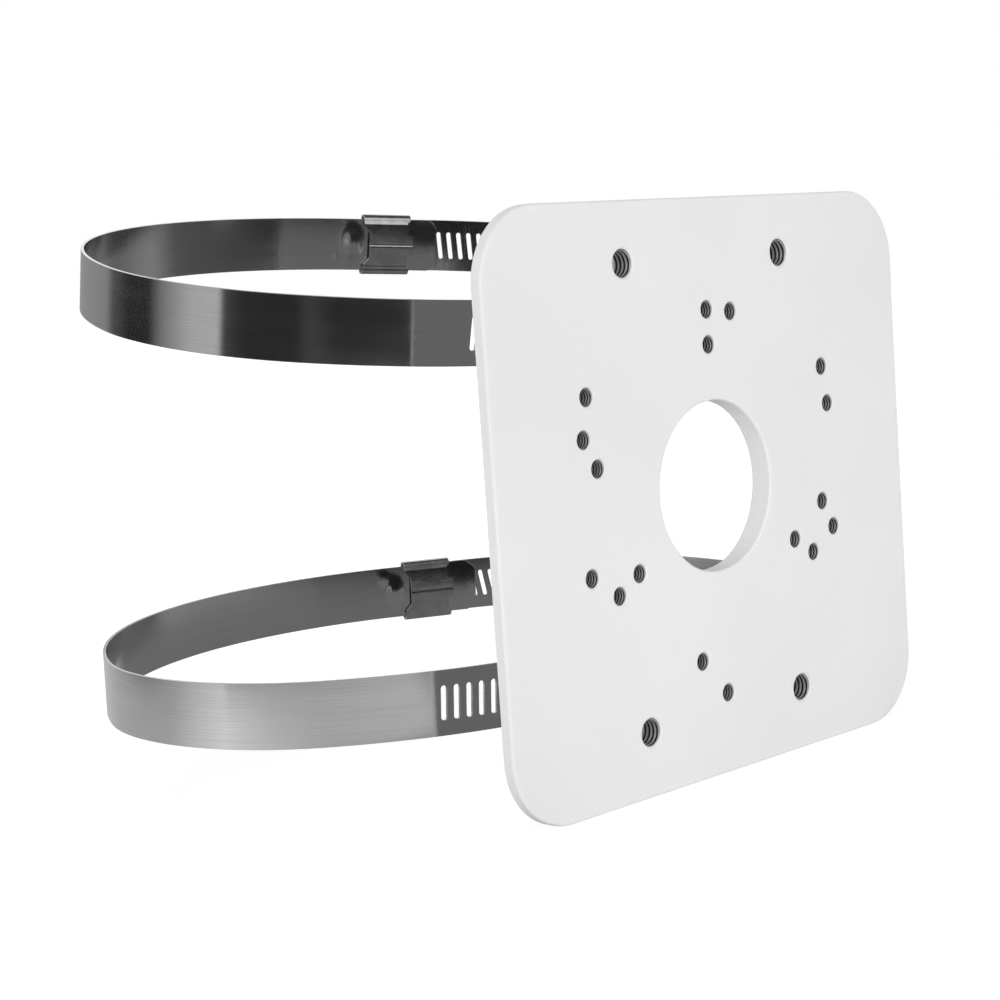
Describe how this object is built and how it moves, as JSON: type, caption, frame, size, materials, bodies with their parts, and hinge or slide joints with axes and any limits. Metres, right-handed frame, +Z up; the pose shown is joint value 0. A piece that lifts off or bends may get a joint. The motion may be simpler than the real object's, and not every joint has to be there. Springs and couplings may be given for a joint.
{
  "type": "camera pole mount bracket",
  "caption": "Flat steel plate with a cable hole and tapped camera holes, held to a round pole by two worm-drive band clamps that run through saddles on its back.",
  "frame": {"origin": "centre of the cable hole on the plate's front face", "axes": "+X to the right seen from the front, +Y from the front face back towards the pole, +Z up along the pole"},
  "size_m": [0.1847, 0.1439, 0.1198],
  "materials": {
    "white_powder_coat": "white powder coat, fine orange peel",
    "band_stainless": "bright rolled stainless strip with fine lengthwise lines",
    "housing_stainless": "pressed stainless sheet, satin",
    "plated_screw": "zinc-plated steel"
  },
  "bodies": {
    "bracket": {"mounting_plate": "white_powder_coat", "upper_saddle": "white_powder_coat", "lower_saddle": "white_powder_coat", "weld_beads": "white_powder_coat", "upper_band": "band_stainless", "upper_housing": "housing_stainless", "lower_band": "band_stainless", "lower_housing": "housing_stainless"},
    "upper_worm": {"upper_screw": "plated_screw"},
    "lower_worm": {"lower_screw": "plated_screw"}
  },
  "joints": [
    {"name": "upper_screw_turn", "type": "hinge", "parent": "bracket", "child": "upper_worm", "pos_m": [0.03597, 0.13545, 0.05446], "axis": [-0.9234, 0.3765, 0.0749], "continuous": true},
    {"name": "lower_screw_turn", "type": "hinge", "parent": "bracket", "child": "lower_worm", "pos_m": [0.03938, 0.13331, -0.03395], "axis": [-0.9251, 0.3794, 0.0176], "continuous": true}
  ]
}
